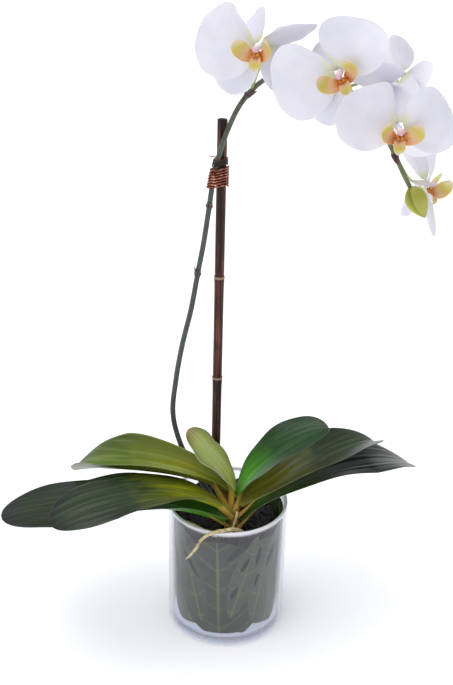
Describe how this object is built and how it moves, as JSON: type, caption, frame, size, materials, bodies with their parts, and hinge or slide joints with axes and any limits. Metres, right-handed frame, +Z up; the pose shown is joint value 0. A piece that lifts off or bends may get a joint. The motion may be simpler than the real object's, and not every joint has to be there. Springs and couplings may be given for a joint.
{
  "type": "potted orchid",
  "caption": "Potted moth orchid: an arching spray of white flowers tied to a cane, strap leaves, in a clear glass cylinder lined with broad leaves.",
  "frame": {"origin": "centre of the flat underside of the glass cylinder", "axes": "+Z up along the glass's axis, -Y towards the side most flowers face, +X towards the side the spray arches over"},
  "size_m": [0.4183, 0.1809, 0.6201],
  "materials": {
    "clear_glass": "polished",
    "liner_leaf": "satin",
    "bark": "matte",
    "crown": "satin",
    "leaf": "satin",
    "young_leaf": "satin",
    "root": "matte",
    "spike": "satin",
    "bamboo": "gloss",
    "copper_wire": "satin",
    "petal": "satin",
    "lip": "satin",
    "column": "satin",
    "bud": "satin"
  },
  "bodies": {
    "root": {"bamboo_stake": "bamboo", "bark_bed": "bark", "bud": "bud", "crown": "crown", "flower_1_column": "column", "flower_1_lip": "lip", "flower_1_petal_left": "petal", "flower_1_petal_right": "petal", "flower_1_sepal_left": "petal", "flower_1_sepal_right": "petal", "flower_1_sepal_top": "petal", "flower_2_column": "column", "flower_2_lip": "lip", "flower_2_petal_left": "petal", "flower_2_petal_right": "petal", "flower_2_sepal_left": "petal", "flower_2_sepal_right": "petal", "flower_2_sepal_top": "petal", "flower_3_column": "column", "flower_3_lip": "lip", "flower_3_petal_left": "petal", "flower_3_petal_right": "petal", "flower_3_sepal_left": "petal", "flower_3_sepal_right": "petal", "flower_3_sepal_top": "petal", "flower_4_column": "column", "flower_4_lip": "lip", "flower_4_petal_left": "petal", "flower_4_petal_right": "petal", "flower_4_sepal_left": "petal", "flower_4_sepal_right": "petal", "flower_4_sepal_top": "petal", "flower_5_column": "column", "flower_5_lip": "lip", "flower_5_petal_left": "petal", "flower_5_petal_right": "petal", "flower_5_sepal_left": "petal", "flower_5_sepal_right": "petal", "flower_5_sepal_top": "petal", "flower_spike": "spike", "glass_cylinder": "clear_glass", "leaf_left_low": "leaf", "leaf_left_mid": "leaf", "leaf_left_top": "leaf", "leaf_right_low": "leaf", "leaf_right_mid": "leaf", "leaf_right_top": "leaf", "leaf_young": "young_leaf", "liner_leaf_1": "liner_leaf", "liner_leaf_2": "liner_leaf", "liner_leaf_3": "liner_leaf", "liner_leaf_4": "liner_leaf", "liner_leaf_5": "liner_leaf", "liner_leaf_6": "liner_leaf", "liner_leaf_7": "liner_leaf", "liner_leaf_8": "liner_leaf", "root_aerial": "root", "root_left": "root", "root_over_rim": "root", "wire_binding": "copper_wire"}
  },
  "joints": []
}
